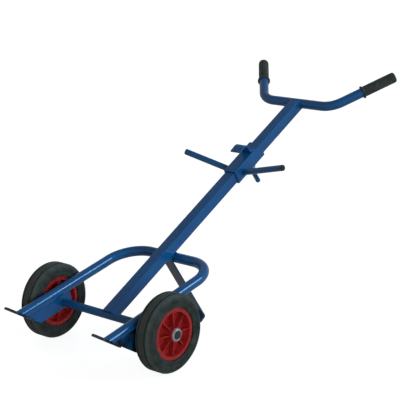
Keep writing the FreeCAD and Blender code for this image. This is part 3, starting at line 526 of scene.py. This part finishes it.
class TROLLEY_OT_welds(bpy.types.Operator):
    """Lay the painted weld beads between the steel members"""
    bl_idname = "trolley.welds"
    bl_label = "Lay Welds"

    def execute(self, context):
        paint = bpy.data.materials["blue_stoving_enamel"]
        self.weld_frame(paint)
        self.weld_slide(paint)
        return {"FINISHED"}

    def weld_frame(self, paint):
        """Seams of the axle, the plates, the hoop, the leg and the handle bar."""
        shape = bmesh.new()
        spine = pitched(sizes().spine_angle)
        along = spine.to_3x3() @ Vector((0, 1, 0))
        hoop = pitched(sizes().hoop_angle)
        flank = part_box("spine_tube")[1][0]
        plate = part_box("side_plate_right")[0][0]
        axle = (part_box("axle_bar")[1][2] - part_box("axle_bar")[0][2]) / 2
        for side in (-1, 1):
            lay_ring(shape, AXLE + CROSS * side * flank, CROSS, axle, -math.pi / 2, math.pi, SLIM,
                     along)
            lay_ring(shape, AXLE + CROSS * side * plate, CROSS, axle, width=SLIM)
            self.weld_leg(shape, hoop, side)
        self.weld_crossings(shape, spine, flank)
        smooth(shape)
        finish(shape, "frame_welds", "frame", paint)

    def weld_leg(self, shape, hoop, side):
        """Seam between a hoop leg and the top edge of its side plate."""
        plate = points_of("side_plate_right", hoop.inverted())
        level = max(point.z for point in plate)
        top = [point.y for point in plate if point.z > level - NEAR]
        across = side * (min(point.x for point in plate) + sizes().seam_inset)
        start = hoop @ Vector((across, min(top) + sizes().seam_front, level))
        end = hoop @ Vector((across, max(top) - sizes().seam_back, level))
        lay_bead(shape, start, end, SLIM)

    def weld_crossings(self, shape, spine, flank):
        """Seams of the rear leg, the hoop and the handle bar on the spine."""
        inside = spine.inverted()
        leg = points_of("rear_leg", inside)
        level = max(point.z for point in leg)
        top = [point for point in leg if point.z > level - NEAR]
        ends = (min(point.y for point in top), max(point.y for point in top))
        lay_round(shape, spine, max(point.x for point in top), ends, level)
        hoop = self.straight_run("cradle_hoop", inside)
        under = [point.y for point in hoop if point.z > level - sizes().seam_reach]
        for edge in (min(under), max(under)):
            lay_across(shape, spine, flank, edge, level - sizes().seam_drop)
        handle = self.straight_run("handle_bar", inside)
        radius = max(point.z for point in handle)
        seat = max(point.y for point in handle) - radius
        down = spine.to_3x3() @ Vector((0, -1, 0))
        for side in (-flank, flank):
            lay_ring(shape, spine @ Vector((side, seat, 0)), CROSS, radius, -math.pi / 2, math.pi,
                     upright=down)
        for height in (-radius, radius):
            lay_across(shape, spine, flank, seat + sizes().seam_inset, height)

    def straight_run(self, node, inside):
        """Points of a bent tube's crossbar that lie nearest the trolley's middle."""
        points = points_of(node, inside)
        nearest = min(abs(point.x) for point in points)
        return [point for point in points if abs(point.x) < nearest + NEAR]

    def weld_slide(self, paint):
        """Seams of the hook, the arms and the nut on the sleeve."""
        shape = bmesh.new()
        spine = pitched(sizes().spine_angle)
        inside = spine.inverted()
        sleeve = points_of("hook_sleeve", inside)
        face = max(point.z for point in sleeve)
        flank = max(point.x for point in sleeve)
        foot = [point for point in points_of("chime_hook", inside) if point.z < face + NEAR]
        ends = (min(point.y for point in foot), max(point.y for point in foot))
        lay_round(shape, spine, max(point.x for point in foot), ends, face, SLIM)
        for name, side in SIDES:
            arm = points_of(f"slide_arm_{name}", inside)
            root = [point for point in arm if side * point.x < flank + NEAR]
            centre = sum(root, Vector()) / len(root)
            radius = (max(point.y for point in root) - min(point.y for point in root)) / 2
            spot = spine @ Vector((side * flank, centre.y, centre.z))
            lay_ring(shape, spot, CROSS, radius, width=SLIMMEST)
        nut = points_of("lock_nut", inside)
        along = sum(point.y for point in nut) / len(nut)
        spot = spine @ Vector((0, along, max(point.z for point in nut)))
        lay_ring(shape, spot, spine.to_3x3() @ Vector((0, 0, 1)), sizes().nut_seam, width=SLIM)
        smooth(shape)
        finish(shape, "slide_welds", "hook_slide", paint)


class TROLLEY_OT_wheels(bpy.types.Operator):
    """Dress the tyres, wheel centres and bushes"""
    bl_idname = "trolley.wheels"
    bl_label = "Dress Wheels"

    def execute(self, context):
        for node in nodes_in("tyre"):
            side = node.split("_")[-1]
            dress([node], rubber(f"black_cushion_rubber_{side}", middle(node)))
        red = moulded("red_polypropylene", colours().centre, colours().centre_deep, rough=0.24)
        dress(nodes_in("wheel_centre"), red)
        nylon = moulded("natural_nylon", colours().bush, colours().bush, rough=0.4)
        dress(nodes_in("bush"), nylon)
        return {"FINISHED"}


class TROLLEY_OT_grips(bpy.types.Operator):
    """Mould the grips with their diamond pattern, and dress the arm plugs"""
    bl_idname = "trolley.grips"
    bl_label = "Mould Grips"

    def execute(self, context):
        vinyl = moulded("black_soft_vinyl", colours().grip_worn, colours().grip, rough=0.5)
        dress(nodes_in("grip"), vinyl)
        plug = moulded("black_polyethylene", colours().plug, colours().plug, rough=0.4)
        dress(["arm_plug_left", "arm_plug_right"], plug)
        upright = Matrix.Rotation(-math.pi / 2, 4, "X")
        for side, sign in SIDES:
            node = f"grip_{side}"
            turn = Matrix.Rotation(-sign * sizes().splay, 4, "Z") @ upright
            aim = (pitched(sizes().spine_angle) @ turn).to_3x3().to_4x4()
            place = Matrix.Translation(self.end_of(node, aim)) @ aim
            self.mould(f"{node}_moulded", place, vinyl, node)
        return {"FINISHED"}

    def end_of(self, node, aim):
        """Point on a grip's axis where the closed end begins."""
        turned = points_of(node, aim.inverted())
        low = Vector([min(point[i] for point in turned) for i in range(3)])
        high = Vector([max(point[i] for point in turned) for i in range(3)])
        centre = (low + high) / 2
        return aim @ Vector((centre.x, centre.y, high.z - sizes().grip_cap))

    def mould(self, name, place, vinyl, node):
        """Grip with a diamond pattern between a stop flange and a rounded closed end."""
        radius, flange = sizes().grip_radius, sizes().flange
        mouth = sizes().grip_cap - sizes().grip_length
        start, end = mouth + sizes().grip_plain, -sizes().grip_nose
        shape = bmesh.new()
        bmesh.ops.create_cone(shape, segments=GRIP_STEPS, radius1=radius, radius2=radius,
                              depth=end - start,
                              matrix=Matrix.Translation((0, 0, (start + end) / 2)))
        self.cut_diamonds(shape)
        back = mouth + sizes().flange_thick
        rounding, foot = sizes().flange_round, sizes().flange_foot
        chamfer = 0.3 * rounding  # of a rounding, at its middle
        stop = [(sizes().grip_bore, mouth), (flange - rounding, mouth),
                (flange - chamfer, mouth + chamfer), (flange, mouth + rounding),
                (flange, back - rounding), (flange - chamfer, back - chamfer),
                (flange - rounding, back), (radius + foot, back + foot / 3), (radius, start)]
        nose = [(radius, end)] + [(radius + out * MM, up * MM) for out, up in GRIP_NOSE]
        nose.append((0, sizes().grip_cap))
        for outline in (stop, nose):
            revolve(shape, [(reach, 0, height) for reach, height in outline], GRIP_STEPS)
        bmesh.ops.remove_doubles(shape, verts=shape.verts, dist=MERGE)
        bmesh.ops.recalc_face_normals(shape, faces=shape.faces)
        smooth(shape)
        for edge in shape.edges:
            edge.smooth = edge.calc_face_angle(0) < CREASE
        bmesh.ops.transform(shape, matrix=place, verts=shape.verts)
        finish(shape, name, "frame", vinyl, [node])

    def cut_diamonds(self, shape):
        """Turn the faces of a plain tube into rows of raised diamonds."""
        lengthwise = [edge for edge in shape.edges
                      if abs(edge.verts[0].co.z - edge.verts[1].co.z) > NEAR]
        bmesh.ops.subdivide_edges(shape, edges=lengthwise, cuts=DIAMOND_CUTS, use_grid_fill=True)
        grid = [edge for edge in shape.edges if not edge.is_boundary]
        bmesh.ops.poke(shape, faces=shape.faces)
        bmesh.ops.dissolve_edges(shape, edges=grid, use_verts=False)
        diamonds = [face for face in shape.faces if len(face.verts) == 4]
        bmesh.ops.inset_individual(shape, faces=diamonds, thickness=sizes().diamond_gap,
                                   depth=sizes().diamond_rise, use_even_offset=True)


class TROLLEY_OT_fittings(bpy.types.Operator):
    """Plate the washers, rings and nut, and cut the clamp screw's thread"""
    bl_idname = "trolley.fittings"
    bl_label = "Plate Fittings"

    def execute(self, context):
        zinc = zinc_plate()
        dress(nodes_in("zinc"), zinc)
        self.cut_thread(zinc)
        for side, sign in SIDES:
            self.press_ring(side, sign, zinc)
        return {"FINISHED"}

    def cut_thread(self, zinc):
        """Threaded clamp screw between its pad and its tee bar."""
        joints = frame["record"]["behaviour"]["joints"]
        joint = next(joint for joint in joints if joint["name"] == "screw_turn")
        axis, foot = Vector(joint["axis"]), Vector(joint["pos_m"])
        bar = frame["nodes"]["lock_screw"].data
        reach = [(vertex.co - foot).dot(axis) for vertex in bar.vertices]
        long = max(reach) - min(reach)
        pitch, crest = sizes().pitch, sizes().thread
        depth = THREAD_DEPTH * pitch
        outline = [(crest - depth + out * depth, 0, (up - 1) * pitch) for out, up in THREAD_OUTLINE]
        shape = bmesh.new()
        # There are two turns more than the length holds, because the ends are cut off square.
        revolve(shape, outline, THREAD_STEPS, turns=int(long / pitch) + 2, pitch=pitch)
        bmesh.ops.remove_doubles(shape, verts=shape.verts, dist=MERGE)
        for level, way in ((0, -1), (long - sizes().thread_stop, 1)):
            whole = list(shape.verts) + list(shape.edges) + list(shape.faces)
            bmesh.ops.bisect_plane(shape, geom=whole, dist=TRIM, plane_co=(0, 0, level),
                                   plane_no=(0, 0, way), clear_outer=True)
        rims = [edge for edge in shape.edges if edge.is_boundary]
        bmesh.ops.holes_fill(shape, edges=rims, sides=0)
        bmesh.ops.recalc_face_normals(shape, faces=shape.faces)
        place = Matrix.Translation(foot + axis * min(reach)) @ aimed(axis)
        bmesh.ops.transform(shape, matrix=place, verts=shape.verts)
        finish(shape, "clamp_screw_thread", "lock_screw", zinc, ["lock_screw"])

    def press_ring(self, side, sign, zinc):
        """Domed push-on ring at an end of the axle."""
        node = f"retaining_ring_{side}"
        low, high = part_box(node)
        seat = low[0] if sign > 0 else high[0]
        shape = bmesh.new()
        outline = [(0, out * MM, up * MM) for out, up in RING_OUTLINE]
        revolve(shape, outline, RING_STEPS, closed=True)
        bmesh.ops.remove_doubles(shape, verts=shape.verts, dist=MERGE)
        bmesh.ops.recalc_face_normals(shape, faces=shape.faces)
        smooth(shape)
        outward = Matrix.Rotation(sign * math.pi / 2, 4, "Y")
        place = Matrix.Translation((seat, AXLE.y, AXLE.z)) @ outward
        bmesh.ops.transform(shape, matrix=place, verts=shape.verts)
        finish(shape, f"{node}_pressed", "frame", zinc, [node])


class TROLLEY_OT_stage(bpy.types.Operator):
    """Set the floor, the lamps, the world and the camera"""
    bl_idname = "trolley.stage"
    bl_label = "Set Stage"

    def execute(self, context):
        scene = context.scene
        scene.view_settings.view_transform = "Standard"
        self.lay_floor(scene)
        self.light_room(scene)
        self.set_camera(scene)
        return {"FINISHED"}

    def lay_floor(self, scene):
        """Pale floor that shows white, with the trolley's shadow kept."""
        shape = bmesh.new()
        bmesh.ops.create_grid(shape, x_segments=1, y_segments=1, size=FLOOR_HALF)
        mesh = bpy.data.meshes.new("floor")
        shape.to_mesh(mesh)
        shape.free()
        floor = bpy.data.objects.new("floor", mesh)
        scene.collection.objects.link(floor)
        material, tree = new_material("pale_floor")[:2]
        matt = add(tree, "ShaderNodeBsdfDiffuse", Color=linear(colours().floor))
        share = add(tree, "ShaderNodeMath", {"operation": "MULTIPLY"},
                    _0=self.seen(tree, FLOOR_MIRRORED), _1=FLOOR_GLOW)
        white = add(tree, "ShaderNodeEmission", Color=(1, 1, 1, 1), Strength=share.outputs[0])
        both = add(tree, "ShaderNodeAddShader", _0=matt.outputs[0], _1=white.outputs[0])
        add(tree, "ShaderNodeOutputMaterial", Surface=both.outputs[0])
        mesh.materials.append(material)

    def light_room(self, scene):
        """Lamp on the right, softbox behind it, fill opposite, and a room that darkens upwards."""
        world = bpy.data.worlds.new("soft_room")
        scene.world = world
        world.use_nodes = True
        tree = world.node_tree
        tree.nodes.clear()
        place = add(tree, "ShaderNodeTexCoord").outputs["Object"]
        way = add(tree, "ShaderNodeSeparateXYZ", Vector=place)
        level = add(tree, "ShaderNodeMapRange", Value=way.outputs["Z"], To_Min=ROOM_LOW,
                    To_Max=ROOM_HIGH)
        room = add(tree, "ShaderNodeBackground", Color=(1, 1, 1, 1),
                   Strength=level.outputs["Result"])
        back = add(tree, "ShaderNodeBackground", Color=(1, 1, 1, 1), Strength=1.0)
        both = add(tree, "ShaderNodeMixShader", _0=self.seen(tree, ROOM_MIRRORED),
                   _1=room.outputs[0], _2=back.outputs[0])
        add(tree, "ShaderNodeOutputWorld", Surface=both.outputs[0])
        self.lamp("side", *SIDE_LAMP).visible_glossy = False
        self.lamp("softbox", *SOFTBOX).data.color = linear(colours().softbox)[:3]
        self.lamp("fill", *FILL_LAMP).visible_glossy = False

    def seen(self, tree, mirror):
        """Socket that is 1 for what is seen directly or through glass, and mirror in a gloss."""
        path = add(tree, "ShaderNodeLightPath")
        either = add(tree, "ShaderNodeMath", {"operation": "MAXIMUM"},
                     _0=path.outputs["Is Camera Ray"], _1=path.outputs["Is Transmission Ray"])
        gloss = add(tree, "ShaderNodeMath", {"operation": "MULTIPLY"},
                    _0=path.outputs["Is Glossy Ray"], _1=mirror)
        every = add(tree, "ShaderNodeMath", {"operation": "MAXIMUM"}, _0=either.outputs[0],
                    _1=gloss.outputs[0])
        return every.outputs[0]

    def lamp(self, name, towards, width, power):
        """Distant soft lamp that stands in a direction, of a width in degrees."""
        light = bpy.data.lights.new(name, "SUN")
        light.angle = math.radians(width)
        light.energy = power
        item = bpy.data.objects.new(name, light)
        bpy.context.scene.collection.objects.link(item)
        item.matrix_world = aimed(-Vector(towards), "-Z")
        return item

    def set_camera(self, scene):
        """Camera where the photograph was taken from."""
        camera = bpy.data.objects.new("camera", bpy.data.cameras.new("camera"))
        scene.collection.objects.link(camera)
        camera.data.sensor_width = SENSOR
        camera.data.lens = LENS
        camera.data.clip_end = CLIP
        eye = Vector((EYE[0], EYE[1] + AXLE.y, EYE[2]))
        camera.matrix_world = Matrix.Translation(eye) @ aimed(Vector(LOOK), "-Z")
        scene.camera = camera


PIECES = (TROLLEY_OT_enamel, TROLLEY_OT_welds, TROLLEY_OT_wheels, TROLLEY_OT_grips,
          TROLLEY_OT_fittings, TROLLEY_OT_stage)


class TROLLEY_PT_panel(bpy.types.Panel):
    """Lists the steps that dress the trolley"""
    bl_idname = "TROLLEY_PT_panel"
    bl_label = "Drum Trolley"
    bl_space_type = "VIEW_3D"
    bl_region_type = "UI"
    bl_category = "Trolley"

    def draw(self, context):
        for piece in PIECES:
            self.layout.operator(piece.bl_idname)


CLASSES = (TrolleyColours, TrolleySizes) + PIECES + (TROLLEY_PT_panel,)


def register():
    for item in CLASSES:
        bpy.utils.register_class(item)
    bpy.types.Scene.trolley_colours = bpy.props.PointerProperty(type=TrolleyColours)
    bpy.types.Scene.trolley_sizes = bpy.props.PointerProperty(type=TrolleySizes)


def unregister():
    del bpy.types.Scene.trolley_sizes
    del bpy.types.Scene.trolley_colours
    for item in reversed(CLASSES):
        bpy.utils.unregister_class(item)


def main():
    register()
    bpy.ops.trolley.enamel()
    bpy.ops.trolley.welds()
    bpy.ops.trolley.wheels()
    bpy.ops.trolley.grips()
    bpy.ops.trolley.fittings()
    bpy.ops.trolley.stage()


if __name__ == "__main__":
    main()
